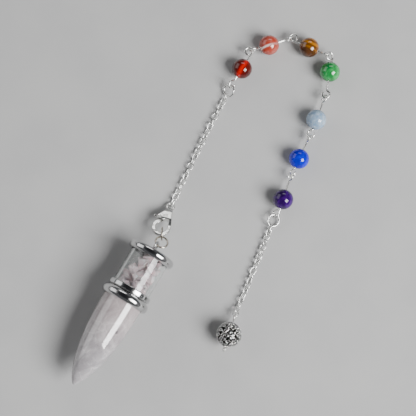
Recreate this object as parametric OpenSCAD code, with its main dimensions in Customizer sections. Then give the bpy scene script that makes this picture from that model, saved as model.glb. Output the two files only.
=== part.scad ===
// Pendulum pendant, lying on a flat surface as it would by itself.
// A stone point in a collar carries a small vial of stone chips. A clasp, a
// long cable chain, seven round beads on eye pins and a short cable chain
// lead from the vial's cap to a pierced ball.
// Millimetres, +Z up, resting on Z = 0, origin under the middle of the whole.

/* [Stone point] */
// Length of the stone that shows below the collar
point_len = 27.5; // [22:0.5:34]
// Diameter of the stone where it enters the collar
point_dia = 12.1; // [11:0.1:12.6]
// How full the point's belly is
point_belly = 2.3; // [1.9:0.1:2.8]
// How blunt the point's end is
point_blunt = 0.68; // [0.55:0.01:0.8]
// Depth of the stone's root inside the collar
root_depth = 1.6; // [1:0.1:1.9]

/* [Collar] */
// Diameter of the collar's rim
collar_dia = 14.9; // [14.2:0.1:16.5]
// Thickness of the collar
collar_h = 2.7; // [2.5:0.1:3.4]
// Diameter of the boss between collar and vial
boss_dia = 9.5; // [7:0.5:12]
// Height of that boss, the dark gap that shows
boss_h = 0.25; // [0.2:0.05:0.6]

/* [Vial] */
// Diameter of the vial's base disc
base_dia = 13.5; // [13:0.1:14.5]
// Thickness of the vial's base disc
base_h = 1.75; // [1.6:0.05:2.5]
// Outer diameter of the glass tube
tube_dia = 11.8; // [11:0.1:12.2]
// Wall of the glass tube
tube_wall = 0.9; // [0.6:0.1:1.2]
// Length of glass that shows
tube_len = 10.4; // [8:0.4:16]
// Depth that the tube sits in at each end
seat_depth = 0.9; // [0.6:0.1:1.2]
// Diameter of the top cap's rim
cap_dia = 14.5; // [14:0.1:16]
// Thickness of the cap's rim
cap_h = 2.4; // [2.2:0.1:3.2]
// Rise of the cap's domed top
dome_h = 0.6; // [0.3:0.1:1.2]
// Wire of the eye on the cap
eye_wire = 0.7; // [0.5:0.05:0.8]
// Inside diameter of the eye on the cap
eye_bore = 1.4; // [1.2:0.1:2]

/* [Quartz chips] */
// Layers of chips along the tube
chip_layers = 5; // [3:1:6]
// Chips round each layer, besides the middle one
chips_round = 6; // [4:1:6]

/* [Jump rings] */
// Inside diameter of the two rings between cap and clasp
cap_ring_bore = 3.1; // [3:0.05:3.6]
// Wire of those two rings
cap_ring_wire = 0.55; // [0.45:0.05:0.6]
// Inside diameter of the rings at both ends of the bead string
string_ring_bore = 3.1; // [2.7:0.1:3.6]
// Wire of the rings at both ends of the bead string
string_ring_wire = 0.5; // [0.4:0.05:0.55]

/* [Clasp] */
// Distance from the eyelet to the middle of the hook
clasp_reach = 7.9; // [7.4:0.1:9]
// Outside radius of the hook
hook_r = 2.8; // [2.7:0.05:3.3]
// Width of the hook's band
hook_band = 1.05; // [0.9:0.05:1.2]
// Thickness of the hook
hook_h = 1.1; // [0.9:0.1:1.3]
// Thickness of the clasp's head
head_h = 2; // [1.8:0.1:2.4]
// Thickness of the lever
lever_h = 0.9; // [0.7:0.1:1]
// Diameter of the lever's rivet
rivet_dia = 0.7; // [0.5:0.05:0.8]
// Outside diameter of the eyelet
eyelet_dia = 2.8; // [2.6:0.1:3.2]
// Inside diameter of the eyelet
eyelet_bore = 1.3; // [1.2:0.05:1.5]

/* [Cable chain] */
// Outside length of a link
link_len = 2.6; // [2.4:0.05:3.2]
// Outside width of a link
link_w = 1.9; // [1.7:0.05:2.1]
// Wire of a link
link_wire = 0.38; // [0.3:0.02:0.42]
// Links in the long chain
long_links = 21; // [16:1:26]
// Links in the short chain
short_links = 19; // [12:1:22]
// Outside length of the thick link on the clasp
clasp_link_len = 3.4; // [3:0.1:4]
// Outside width of the thick link on the clasp
clasp_link_w = 2.5; // [2.3:0.1:2.8]
// Wire of the thick link on the clasp
clasp_link_wire = 0.5; // [0.4:0.05:0.55]

/* [Beads] */
// Diameter of the stone beads
bead_dia = 6.1; // [5.5:0.1:6.6]
// Bore of the stone beads
bead_bore = 1.0; // [0.8:0.05:1.4]
// Wire of the eye pins
pin_wire = 0.6; // [0.5:0.05:0.65]
// Distance between the two eyes of a bead's pin
pin_len = 11.62; // [11:0.1:13]
// Inside diameter of an eye
pin_eye_bore = 1.64; // [1.5:0.02:1.9]

/* [End ball] */
// Diameter of the pierced ball
ball_dia = 7.5; // [7:0.1:9]
// Wall of the pierced ball
ball_wall = 0.45; // [0.35:0.05:0.7]
// Inside diameter of the small eye at the ball's far end
end_eye_bore = 0.6; // [0.4:0.05:1]
// Wire of that eye
end_eye_wire = 0.5; // [0.4:0.05:0.6]

/* [Hidden] */
$fn = 64;

// Where the whole lies: the tip of the stone point, on the surface's plane
tip_xy = [-39.12, -53.13];
// Headings in the plane, anticlockwise from +X
pendant_heading = 59.6;
clasp_heading = 75.5;
clasp_link_heading = 67;
// Headings along the two chains: share of the chain, heading
LONG_ROUTE = [[0, 63], [0.2, 65.5], [0.4, 64], [0.6, 64.5], [0.8, 62.5], [1, 62.5]];
SHORT_ROUTE = [[0, 244], [0.2, 250], [0.4, 246], [0.6, 250], [0.8, 245], [1, 250]];
// Twist along them
LONG_TWIST = [[0, -15], [0.1, 40], [0.3, -40], [0.45, 20], [0.55, 30], [0.8, -45], [1, 40]];
SHORT_TWIST = [[0, 45], [0.1, -10], [0.3, -30], [0.5, 30], [0.65, -10], [0.9, 20], [1, -35]];
// Slope along the short chain, where its last links climb to the ball's pin
LEVEL = [[0, 0], [1, 0]];
SHORT_CLIMB = [[0, 0], [0.84, 0], [1, 32]];
short_slack = 0.15;
short_wander = 7;
ball_heading = 252;

// The bead string. Length is the pin's share of pin_len, seat is the bead's
// place along its free play from 0 to 1, and turn is how far an eye is turned out
// of the flat. An eye beside its stem has side 1 for left and -1 for right, and
// a centred one has 0.
NAME = 0;
COLOUR = 1;
LENGTH = 2;
HEADING = 3;
SEAT = 4;
NEAR_TURN = 5;
NEAR_SIDE = 6;
FAR_TURN = 7;
FAR_SIDE = 8;
BEADS = [
    ["red",       "firebrick",      0.995, 57.7,  0.5,   50,  0,   0,  1],
    ["cherry",    "indianred",      0.98,  17.6,  0.15,  90,  0,  90,  0],
    ["tiger_eye", "darkgoldenrod",  0.935, -22.4, 0.55,   0,  1, -75, -1],
    ["green",     "mediumseagreen", 1.02, -100.9, 0,    -30, -1, 180,  0],
    ["pale_blue", "lightsteelblue", 1.005, -110.9, 1,    60,  0,  20,  0],
    ["blue",      "royalblue",      1.01, -115.6, 1,     80,  0,  50,  0],
    ["violet",    "indigo",         1.02, -108,   1,    -55,  0,  40, -1]
];

// Small running gaps
fit = 0.05;
link_gap = 0.13;
ring_gap = 0.2;
eyelet_gap = 0.35;
table_gap = 0.02;
eye_close = 27;
eye_kink = 55;
eye_bend_r = 0.45;

// Stations along the pendant's own axis, from the tip
z_collar = point_len;
z_base = z_collar + collar_h + boss_h;
z_tube = z_base + base_h;
z_cap = z_tube + tube_len;
z_top = z_cap + cap_h + dome_h;
eye_r = (eye_bore + eye_wire) / 2;
eye_neck = 0.1;
z_eye = z_top + eye_neck + eye_r;

// The pendant lies on the rims of its collar and its cap
rim_span = z_cap + cap_h / 2 - z_collar - collar_h / 2;
pendant_dip = asin((collar_dia - cap_dia) / 2 / rim_span);
collar_axis_z = collar_dia / 2 / cos(pendant_dip);
tip_z = collar_axis_z + (z_collar + collar_h / 2) * sin(pendant_dip);
tip_at = [tip_xy.x, tip_xy.y, tip_z];
pendant_dir = slope_dir(pendant_heading, -pendant_dip);

function slope_dir(h, s) = [cos(s) * cos(h), cos(s) * sin(h), sin(s)];
function unit(v) = v / norm(v);

// The two rings between the eye and the hook. The first leans over beside the
// eye, and the second goes on from it, rolled on its side, round the hook.
cap_ring_r = (cap_ring_bore + cap_ring_wire) / 2;
eye_turn = 72;
eye_play = eye_bore / 2 - cap_ring_wire / 2 - ring_gap;
first_dir = slope_dir(36, -25);
second_dir = slope_dir(88.4, -23);
second_roll = -78;
eye_at = tip_at + z_eye * pendant_dir;
cap_ring_at = eye_at + eye_play * pendant_dir + cap_ring_r * first_dir;
cap_ring_axis = unit(cross(first_dir, second_dir));
clasp_ring_at = cap_ring_at + (2 * cap_ring_r - cap_ring_wire - ring_gap) * second_dir;
clasp_ring_axis = cos(second_roll) * cap_ring_axis
    + sin(second_roll) * cross(cap_ring_axis, second_dir);
hook_back = 0.12;
hook_at = clasp_ring_at - hook_back * second_dir;

// The clasp's own frame has its eyelet at the origin and its hook towards -Y
hook_mid = [-0.9, -clasp_reach];
hook_mean_r = hook_r - hook_band / 2;
hook_held = -69.5;
hook_point = [
    hook_mid.x + hook_mean_r * cos(hook_held),
    hook_mid.y + hook_mean_r * sin(hook_held)
];
eyelet_mean_r = (eyelet_dia + eyelet_bore) / 4;
eyelet_wire = (eyelet_dia - eyelet_bore) / 2;
eyelet_z = 1.45;
clasp_tilt = asin((hook_at.z - eyelet_z) / -hook_point.y);
eyelet_at = flat(hook_at, eyelet_z)
    - clasp_turned([hook_point.x, hook_point.y * cos(clasp_tilt), 0]);
lever_pivot = [hook_mid.x - 1.35, hook_mid.y + 3.2];
lever_reach = 4.85;

function clasp_turned(v) = let (a = clasp_heading - 90)
    [v.x * cos(a) - v.y * sin(a), v.x * sin(a) + v.y * cos(a), v.z];

// From the eyelet on, each piece starts where the one before it ends
link_half = (link_len - link_wire) / 2;
link_step = 2 * link_half - link_wire - link_gap;
link_z = link_w / 2 + table_gap;
clasp_link_half = (clasp_link_len - clasp_link_wire) / 2;
clasp_link_roll = -68;
clasp_link_z = (clasp_link_w - clasp_link_wire) / 2 * abs(sin(clasp_link_roll))
    + clasp_link_wire / 2 + table_gap;
clasp_link_step = eyelet_mean_r + clasp_link_half - eyelet_wire / 2
    - clasp_link_wire / 2 - eyelet_gap;
clasp_link_at = [eyelet_at.x, eyelet_at.y, clasp_link_z]
    + clasp_link_step * slope_dir(clasp_link_heading, 0);
long_start_step = clasp_link_half + link_half - clasp_link_wire / 2
    - link_wire / 2 - ring_gap;
long_start = [clasp_link_at.x, clasp_link_at.y, link_z]
    + long_start_step * slope_dir((clasp_link_heading + LONG_ROUTE[0][1]) / 2, 0);
long_walk = walk(long_start, 0, long_links, link_step, LONG_ROUTE, LEVEL);

string_ring_r = (string_ring_bore + string_ring_wire) / 2;
pin_eye_r = (pin_eye_bore + pin_wire) / 2;
bead_z = bead_dia / 2 + table_gap;
ring_foot_z = link_z + 0.1;
ring_foot_step = link_half - link_wire / 2 - string_ring_wire / 2 - link_gap;
ring_play = pin_eye_r - pin_wire / 2 - string_ring_wire / 2 - ring_gap;
ring_span = 2 * string_ring_r + ring_play;
string_ring_slope = asin((bead_z - ring_foot_z) / ring_span);
string_ring_foot = flat(last(long_walk)[0], ring_foot_z)
    + ring_foot_step * slope_dir(last(LONG_ROUTE)[1], 0);
string_ring_heading = 61;
ring_roll = -25;
string_ring_dir = slope_dir(string_ring_heading, string_ring_slope);
string_ring_at = string_ring_foot + string_ring_r * string_ring_dir;

// Near eye, far eye and start of the axis of each bead's pin
eye_step = 2 * pin_eye_r - pin_wire - ring_gap;
string_walk = pin_walk(string_ring_foot + ring_span * string_ring_dir, 0);

string_end = last(string_walk)[1];
chain_ring_heading = -107.5;
chain_ring_slope = asin((string_end.z - ring_foot_z) / ring_span);
chain_ring_dir = slope_dir(chain_ring_heading, -chain_ring_slope);
chain_ring_at = string_end + (ring_play + string_ring_r) * chain_ring_dir;
short_start = flat(chain_ring_at + string_ring_r * chain_ring_dir, link_z)
    + ring_foot_step * slope_dir(SHORT_ROUTE[0][1], 0);
short_walk = walk(short_start, 0, short_links, link_step - short_slack,
    SHORT_ROUTE, SHORT_CLIMB);

ball_eye_step = link_half + pin_eye_r - link_wire / 2 - pin_wire / 2 - ring_gap;
ball_eye_at = last(short_walk)[0]
    + ball_eye_step * slope_dir(ball_heading, last(SHORT_CLIMB)[1]);
ball_r = ball_dia / 2;
ball_seat = eye_run(eye_kink) + ball_r;
ball_tilt = asin((ball_r + table_gap - ball_eye_at.z) / ball_seat);
end_eye_r = (end_eye_bore + end_eye_wire) / 2;
end_eye_at = ball_seat + ball_r + end_eye_r + end_eye_wire / 2 + fit;

function last(list) = list[len(list) - 1];
function flat(p, z) = [p.x, p.y, z];

// Places of a chain's links: centre, heading and slope of each
function walk(p, k, n, step, route, climb) =
    let (share = k / (n - 1), next = (k + 1) / (n - 1))
    let (h = lookup(share, route), s = lookup(share, climb))
    let (h2 = lookup(next, route), s2 = lookup(next, climb))
    let (to = p + step * slope_dir((h + h2) / 2, (s + s2) / 2))
    concat([[p, h, s]], k < n - 1 ? walk(to, k + 1, n, step, route, climb) : []);

// From a stem's axis to the centre of an eye beside it
function side_shift(h, side, turn) =
    side * pin_eye_r * [-sin(h) * cos(turn), cos(h) * cos(turn), sin(turn)];
function pin_walk(p, k) =
    let (b = BEADS[k], h = b[HEADING])
    let (near_shift = side_shift(h, b[NEAR_SIDE], b[NEAR_TURN]))
    let (far_shift = side_shift(h, b[FAR_SIDE], b[FAR_TURN]))
    let (axis = flat(p - near_shift, bead_z))
    let (far = axis + pin_len * b[LENGTH] * slope_dir(h, 0) + far_shift)
    let (goes_on = k < len(BEADS) - 1)
    let (step_h = goes_on && abs(cos(b[FAR_TURN])) > 0.9 ? BEADS[k + 1][HEADING] : h)
    concat([[axis + near_shift, far, axis]],
        goes_on ? pin_walk(far + eye_step * slope_dir(step_h, 0), k + 1) : []);

// Length along the pin's axis from the start of an eye's kink to its middle
function eye_run(kink) = kink == 0 ? 0 :
    (eye_bend_r + pin_eye_r) * sin(kink) + eye_straight(kink) * cos(kink);
function eye_straight(kink) =
    (pin_eye_r * cos(kink) - eye_bend_r * (1 - cos(kink))) / sin(kink);

module lay(p, heading, slope = 0, turn = 0) {
    translate(p) rotate([0, -slope, heading]) rotate([turn, 0, 0]) children();
}

module lay_pendant() {
    translate(tip_at) rotate([0, 0, pendant_heading - 90])
        rotate([-90 - pendant_dip, 0, 0]) children();
}

module lay_ring(p, axis) {
    translate(p) rotate([0, acos(axis.z), atan2(axis.y, axis.x)]) children();
}

module lay_clasp() {
    translate(eyelet_at) rotate([0, 0, clasp_heading - 90])
        rotate([-clasp_tilt, 0, 0]) children();
}

module torus(mean_r, wire) {
    rotate_extrude() translate([mean_r, 0]) circle(d = wire);
}

// A disc whose rim bulges
module rim_disc(dia, h) {
    bulge = h * 0.62;
    rotate_extrude() intersection() {
        square([dia / 2, h]);
        union() {
            square([dia / 2 - bulge, h]);
            translate([dia / 2 - bulge, h / 2]) circle(r = bulge);
        }
    }
}

// A wire along +X from the origin, bent through a list of steps. A step is
// [length, 0] for a straight and [angle, radius] for a bend, to the left if the
// angle is positive.
module bent_wire(steps, wire, k = 0) {
    if (k < len(steps)) {
        amount = steps[k][0];
        r = steps[k][1];
        if (r == 0) {
            rotate([0, 90, 0]) cylinder(h = amount, d = wire);
            translate([amount, 0, 0]) bent_wire(steps, wire, k + 1);
        } else {
            s = sign(amount);
            translate([0, s * r, 0]) {
                rotate_extrude(angle = amount, start = -90 * s)
                    translate([r, 0]) circle(d = wire);
                rotate(amount) translate([0, -s * r, 0])
                    bent_wire(steps, wire, k + 1);
            }
        }
    }
}

// The eye at the end of a pin, from the end of its straight stem, or with a
// length of that stem before it
module pin_eye(side, turn, stem = 0) {
    closed = acos(1 - (pin_wire + fit) / pin_eye_r);
    steps = side == 0
        ? [[-eye_kink, eye_bend_r], [eye_straight(eye_kink), 0],
            [180 + 2 * eye_kink - eye_close, pin_eye_r]]
        : [[side * (360 - closed), pin_eye_r]];
    lead = stem == 0 ? [] : [[stem, 0]];
    rotate([turn, 0, 0]) bent_wire(concat(lead, steps), pin_wire);
}

module eye_pin(len, near_turn, near_side, far_turn, far_side) {
    near_run = near_side == 0 ? eye_run(eye_kink) : 0;
    far_run = far_side == 0 ? eye_run(eye_kink) : 0;
    translate([near_run, 0, 0]) {
        rotate(180) pin_eye(-near_side, -near_turn);
        pin_eye(far_side, far_turn, len - near_run - far_run);
    }
}

module oval_link(length, width, wire) {
    r = (width - wire) / 2;
    run = length - width;
    for (end = [0, 180]) rotate(end) {
        translate([run / 2, 0, 0]) rotate_extrude(angle = 180, start = -90)
            translate([r, 0]) circle(d = wire);
        translate([-run / 2, r, 0]) rotate([0, 90, 0]) cylinder(h = run, d = wire);
    }
}

module chain(places, twist, wander) {
    for (k = [0:len(places) - 1]) {
        turn = (k % 2 == 0 ? 45 : -45) + lookup(k / (len(places) - 1), twist);
        lay(places[k][0], places[k][1] + wander * sin(150 * k), places[k][2], turn)
            oval_link(link_len, link_w, link_wire);
    }
}

module stone_point() {
    rows = 22;
    profile = [for (i = [1:rows]) let (z = point_len * (1 - cos(90 * i / rows)))
        [point_dia / 2 * pow(1 - pow(1 - z / point_len, point_belly), point_blunt), z]];
    color([0.85, 0.78, 0.79]) lay_pendant() rotate_extrude() polygon(concat(
        [[0, 0]], profile,
        [[point_dia / 2, point_len + root_depth], [0, point_len + root_depth]]
    ));
}

module collar() {
    color("silver") lay_pendant() translate([0, 0, z_collar]) difference() {
        union() {
            rim_disc(collar_dia, collar_h);
            cylinder(h = collar_h + boss_h - fit, d = boss_dia);
        }
        translate([0, 0, -1]) cylinder(h = 1 + root_depth + fit, d = point_dia + 2 * fit);
    }
}

module vial_base() {
    color("silver") lay_pendant() translate([0, 0, z_base]) difference() {
        cylinder(h = base_h, d = base_dia);
        translate([0, 0, base_h - seat_depth])
            cylinder(h = seat_depth + 1, d = tube_dia + 2 * fit);
    }
}

module glass_tube() {
    length = tube_len + 2 * seat_depth - 2 * fit;
    color([0.8, 0.85, 0.85, 0.4]) lay_pendant()
        translate([0, 0, z_tube - seat_depth + fit]) difference() {
            cylinder(h = length, d = tube_dia);
            translate([0, 0, -1]) cylinder(h = length + 2, d = tube_dia - 2 * tube_wall);
        }
}

// Broken chips, each the hull of points scattered in its own cell. The side
// that lies leftmost stays empty, the more so towards the cap.
module quartz_chips() {
    inner_r = tube_dia / 2 - tube_wall;
    cell_r = inner_r / 3;
    cell_h = (tube_len + 2 * seat_depth - 4 * fit) / chip_layers;
    color([0.9, 0.75, 0.78]) lay_pendant()
        translate([0, 0, z_tube - seat_depth + 2 * fit])
            for (layer = [0:chip_layers - 1], j = [0:chips_round]) {
                angle = 360 / chips_round * j + 25 * layer;
                out = j == 0 ? 0 : inner_r - cell_r;
                x = out * cos(angle);
                full = x > inner_r * (0.9 * layer / chip_layers - 0.95);
                if (full) translate([x, out * sin(angle), (layer + 0.5) * cell_h])
                    chip(cell_r - fit, cell_h / 2 - fit, 10 * layer + j);
            }
}

module chip(r, half_h, seed) {
    u = rands(0, 1, 36, seed + 7);
    hull() for (i = [0:11]) {
        z = -1 + (i + u[i]) / 6;
        a = 137.5 * i + 60 * u[12 + i];
        reach = (0.8 + 0.2 * u[24 + i]) * sqrt(max(0.3, 1 - pow(z, 4)));
        translate([r * reach * cos(a), r * reach * sin(a), half_h * z])
            cube(0.02, center = true);
    }
}

module top_cap() {
    dome_r = (pow(cap_dia / 2 - cap_h / 2, 2) + dome_h * dome_h) / (2 * dome_h);
    color("silver") lay_pendant() translate([0, 0, z_cap]) {
        difference() {
            union() {
                rim_disc(cap_dia, cap_h);
                intersection() {
                    translate([0, 0, cap_h + dome_h - dome_r]) sphere(r = dome_r);
                    translate([0, 0, cap_h - 0.1])
                        cylinder(h = dome_h + 1, d = cap_dia - cap_h - 0.2);
                }
            }
            translate([0, 0, -1]) cylinder(h = 1 + seat_depth, d = tube_dia + 2 * fit);
        }
        translate([0, 0, z_top - z_cap - dome_h])
            cylinder(h = dome_h + eye_neck + eye_wire / 4, d = eye_wire);
        translate([0, 0, z_eye - z_cap]) rotate([90, 0, eye_turn]) torus(eye_r, eye_wire);
    }
}

module cap_ring() {
    color("silver") lay_ring(cap_ring_at, cap_ring_axis) torus(cap_ring_r, cap_ring_wire);
}

module clasp_ring() {
    color("silver") lay_ring(clasp_ring_at, clasp_ring_axis)
        torus(cap_ring_r, cap_ring_wire);
}

// The clasp seen from above, its head, spine and hook in one
module clasp_outline() {
    k = clasp_reach / 8;
    difference() {
        union() {
            polygon([
                [-0.7, -0.8 * k], [0.8, -0.8 * k], [1.05, -2 * k], [1.15, -3 * k],
                [1.4, -4.5 * k], [1.75, -6.2 * k], [hook_mid.x + hook_r, hook_mid.y],
                [hook_mid.x, hook_mid.y], [lever_pivot.x - 0.6, lever_pivot.y - 0.55],
                [lever_pivot.x - 0.8, lever_pivot.y + 0.15], [-2.7, -4 * k],
                [-1.9, -3 * k], [-1, -1.9 * k]
            ]);
            translate(lever_pivot) circle(r = 0.82);
            translate(hook_mid) circle(r = hook_r);
        }
        circle(d = eyelet_dia - 0.3);
        // The opening, with its corner beside the spine
        translate(hook_mid) circle(r = hook_r - hook_band);
        translate(hook_mid) polygon([
            [-1.35, 1.1], [-0.5, 2.2], [0.4, 2.85], [1.2, 3], [1.6, 2.4],
            [hook_r - hook_band, 0], [0, 0]
        ]);
        // Where the lever shuts, with its end's swing
        translate(lever_pivot) intersection() {
            circle(r = lever_reach + 0.12);
            translate([-4, -7.2]) square([5, 6.4]);
        }
    }
}

module clasp_body() {
    flare = 1.3;
    slot_h = lever_h + 0.24;
    color("silver") lay_clasp() difference() {
        union() {
            torus(eyelet_mean_r, eyelet_wire);
            intersection() {
                translate([0, 0, -head_h / 2]) linear_extrude(head_h) clasp_outline();
                // Side view: thin at the eyelet, full at the head, thin at the hook
                translate([-5, 0, 0]) rotate([90, 0, 90]) linear_extrude(10) polygon([
                    [0, flare / 2], [-2.6, head_h / 2], [lever_pivot.y, head_h / 2],
                    [hook_mid.y + 1, hook_h / 2], [-15, hook_h / 2], [-15, -hook_h / 2],
                    [hook_mid.y + 1, -hook_h / 2], [lever_pivot.y, -head_h / 2],
                    [-2.6, -head_h / 2], [0, -flare / 2]
                ]);
            }
        }
        // Slot for the lever and hole for its rivet
        translate([lever_pivot.x, lever_pivot.y, -slot_h / 2])
            cylinder(h = slot_h, r = 1.5);
        translate([lever_pivot.x, lever_pivot.y, -head_h])
            cylinder(h = 2 * head_h, d = rivet_dia + 0.04);
    }
}

module clasp_lever() {
    knob_r = 0.5;
    color("silver") lay_clasp() difference() {
        union() {
            translate([0, 0, -lever_h / 2]) linear_extrude(lever_h) intersection() {
                translate(hook_mid) difference() {
                    circle(r = hook_r - 0.03);
                    circle(r = hook_r - hook_band + 0.05);
                }
                translate(lever_pivot) circle(r = lever_reach);
                translate(lever_pivot) translate([-4, -7.2]) square([4.5, 7]);
            }
            translate([lever_pivot.x, lever_pivot.y, -lever_h / 2])
                cylinder(h = lever_h, r = 0.8);
            // Thumb piece
            translate([lever_pivot.x, lever_pivot.y, 0]) rotate(162) {
                rotate([0, 90, 0]) cylinder(h = 1.5, r = lever_h * 0.42);
                translate([1.45, 0, 0]) sphere(r = knob_r);
            }
        }
        translate([lever_pivot.x, lever_pivot.y, -lever_h])
            cylinder(h = 2 * lever_h, d = rivet_dia + 2 * fit);
    }
}

module clasp_pin() {
    color("silver") lay_clasp() translate([lever_pivot.x, lever_pivot.y, -head_h / 2])
        cylinder(h = head_h, d = rivet_dia);
}

module clasp_link() {
    color("silver") lay(clasp_link_at, clasp_link_heading, 0, clasp_link_roll)
        oval_link(clasp_link_len, clasp_link_w, clasp_link_wire);
}

module long_chain() {
    color("silver") chain(long_walk, LONG_TWIST, 0);
}

module string_ring() {
    color("silver") lay(string_ring_at, string_ring_heading, string_ring_slope, ring_roll)
        torus(string_ring_r, string_ring_wire);
}

module bead_pin(k) {
    b = BEADS[k];
    color("silver") lay(string_walk[k][2], b[HEADING])
        eye_pin(pin_len * b[LENGTH], b[NEAR_TURN], b[NEAR_SIDE], b[FAR_TURN],
            b[FAR_SIDE]);
}

module bead(k) {
    b = BEADS[k];
    near = bead_dia / 2 + eye_run(eye_kink) + fit;
    seat = near + b[SEAT] * (pin_len * b[LENGTH] - 2 * near);
    color(b[COLOUR]) lay(string_walk[k][2], b[HEADING]) translate([seat, 0, 0])
        rotate([0, 90, 0]) rotate_extrude() difference() {
            circle(d = bead_dia);
            translate([-bead_dia, -bead_dia]) square([bead_dia + bead_bore / 2, 2 * bead_dia]);
        }
}

module chain_ring() {
    color("silver") lay(chain_ring_at, chain_ring_heading, -chain_ring_slope, ring_roll)
        torus(string_ring_r, string_ring_wire);
}

module short_chain() {
    color("silver") chain(short_walk, SHORT_TWIST, short_wander);
}

// A hollow ball on its pin's axis, pierced in rows round that axis
module end_ball() {
    // Latitude, holes in the row and their share of the ball's radius
    rows = [
        [0, 14, 0.165], [24, 13, 0.147], [-24, 13, 0.147],
        [46, 10, 0.133], [-46, 10, 0.133], [66, 6, 0.115], [-66, 6, 0.115]
    ];
    color("silver") lay(ball_eye_at, ball_heading, ball_tilt)
        translate([ball_seat, 0, 0]) rotate([0, 90, 0]) difference() {
            sphere(r = ball_r);
            sphere(r = ball_r - ball_wall);
            cylinder(h = 2 * ball_r + 1, d = bead_bore, center = true);
            for (row = rows, i = [0:row[1] - 1])
                rotate([0, 90 - row[0], 360 / row[1] * (i + row[0] / 60)])
                    translate([0, 0, ball_r - 2 * ball_wall])
                        cylinder(h = 3 * ball_wall, r = ball_r * row[2]);
        }
}

module ball_pin() {
    run = eye_run(eye_kink);
    near_turn = 90;
    end_turn = 60;
    color("silver") lay(ball_eye_at, ball_heading, ball_tilt) {
        translate([run, 0, 0]) {
            rotate([0, 90, 0]) cylinder(h = end_eye_at - end_eye_r - run, d = pin_wire);
            rotate(180) pin_eye(0, near_turn);
        }
        translate([end_eye_at, 0, 0]) rotate([end_turn, 0, 0])
            torus(end_eye_r, end_eye_wire);
    }
}

stone_point();
collar();
vial_base();
glass_tube();
quartz_chips();
top_cap();
cap_ring();
clasp_ring();
clasp_body();
clasp_lever();
clasp_pin();
clasp_link();
long_chain();
string_ring();
for (k = [0:len(BEADS) - 1]) {
    bead_pin(k);
    bead(k);
}
chain_ring();
short_chain();
end_ball();
ball_pin();
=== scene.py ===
import math
import random

import bmesh
import bpy
import numpy as np
from mathutils import Matrix, Vector


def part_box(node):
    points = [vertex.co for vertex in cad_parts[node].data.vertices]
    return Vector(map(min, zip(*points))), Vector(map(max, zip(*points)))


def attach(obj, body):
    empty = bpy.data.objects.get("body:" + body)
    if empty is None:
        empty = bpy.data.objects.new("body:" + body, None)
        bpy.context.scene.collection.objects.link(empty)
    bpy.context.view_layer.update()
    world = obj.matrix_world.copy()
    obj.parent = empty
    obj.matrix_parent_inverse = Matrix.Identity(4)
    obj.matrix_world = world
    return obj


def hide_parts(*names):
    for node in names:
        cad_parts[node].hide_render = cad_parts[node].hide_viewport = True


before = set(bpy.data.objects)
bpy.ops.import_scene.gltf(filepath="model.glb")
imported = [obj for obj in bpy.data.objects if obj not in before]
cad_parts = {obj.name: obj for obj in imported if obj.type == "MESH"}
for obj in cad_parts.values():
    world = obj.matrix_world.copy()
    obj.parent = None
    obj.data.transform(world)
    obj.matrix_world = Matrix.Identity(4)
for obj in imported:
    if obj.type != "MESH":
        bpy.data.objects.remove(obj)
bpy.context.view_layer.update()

# Everything is shaped in millimetres and brought to metres when its mesh is made
MM = 0.001
PENDULUM = "pendulum"
LEVER = "lever"

# How each bead's pin lies: its heading in the plane, then for the near and the far
# eye the turn out of the flat, and 1 for left of the stem, -1 for right, 0 for centred
BEADS = {
    "red": {"heading": 57.7, "near": (50, 0), "far": (0, 1)},
    "cherry": {"heading": 17.6, "near": (90, 0), "far": (90, 0)},
    "tiger_eye": {"heading": -22.4, "near": (0, 1), "far": (-75, -1)},
    "green": {"heading": -100.9, "near": (-30, -1), "far": (180, 0)},
    "pale_blue": {"heading": -110.9, "near": (60, 0), "far": (20, 0)},
    "blue": {"heading": -115.6, "near": (80, 0), "far": (50, 0)},
    "violet": {"heading": -108, "near": (-55, 0), "far": (40, -1)},
}

PIN_WIRE = 0.6
EYE_R = 1.12
EYE_KINK = 55
EYE_BEND_R = 0.45
EYE_CLOSE = 27
END_EYE_R = 0.55
BEAD_BORE = 1.0
RING_CUT = 3
LINK_WIRE = 0.38
CLASP_LINK_WIRE = 0.5
CAP_RING_WIRE = 0.55
STRING_RING_WIRE = 0.5
END_EYE_WIRE = 0.5
RIVET_R = 0.35
RIVET_CROWN = 0.12

POINT_SHOWN = 27.5
POINT_BELLY = 2.3
POINT_BLUNT = 0.68
# A dark fleck in the stone, from the tip: up from the surface, across and along
FLECK_AT = (4.56, 3.5, 18.8)
COLLAR_H = 2.7
BOSS_R = 4.75
CAP_RIM_H = 2.4
CAP_DOME_H = 0.6
TUBE_WALL = 0.9
SEAT_DEPTH = 0.9
CAP_EYE_R = 1.05
CAP_EYE_WIRE = 0.7
# A chip is drawn out of some of its CAD chip's corners, a little larger than it
CHIP_GROWTH = 1.3
CHIP_CORNERS = 13
CHIP_STRETCH = 0.35
CHIP_EDGE = 0.06

# The camera looks down at the middle of the photograph from 80 degrees
CAMERA_AIM = Vector((-0.37, -0.33, 0)) * MM
CAMERA_UP_DEG = 80
CAMERA_DISTANCE = 0.4
CAMERA_LENS = 115.4


# Places in the frame

def points(node):
    """A CAD node's vertices, in millimetres."""
    return np.array([v.co[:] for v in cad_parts[node].data.vertices]) / MM


def centroid(node):
    """The middle of a CAD node's volume, in millimetres."""
    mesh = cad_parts[node].data
    mesh.calc_loop_triangles()
    at = points(node)
    tri = at[np.array([t.vertices[:] for t in mesh.loop_triangles])]
    weight = np.einsum("ij,ij->i", tri[:, 0], np.cross(tri[:, 1], tri[:, 2]))
    return Vector((tri.sum(axis=1) * weight[:, None]).sum(axis=0) / (4 * weight.sum()))


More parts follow.
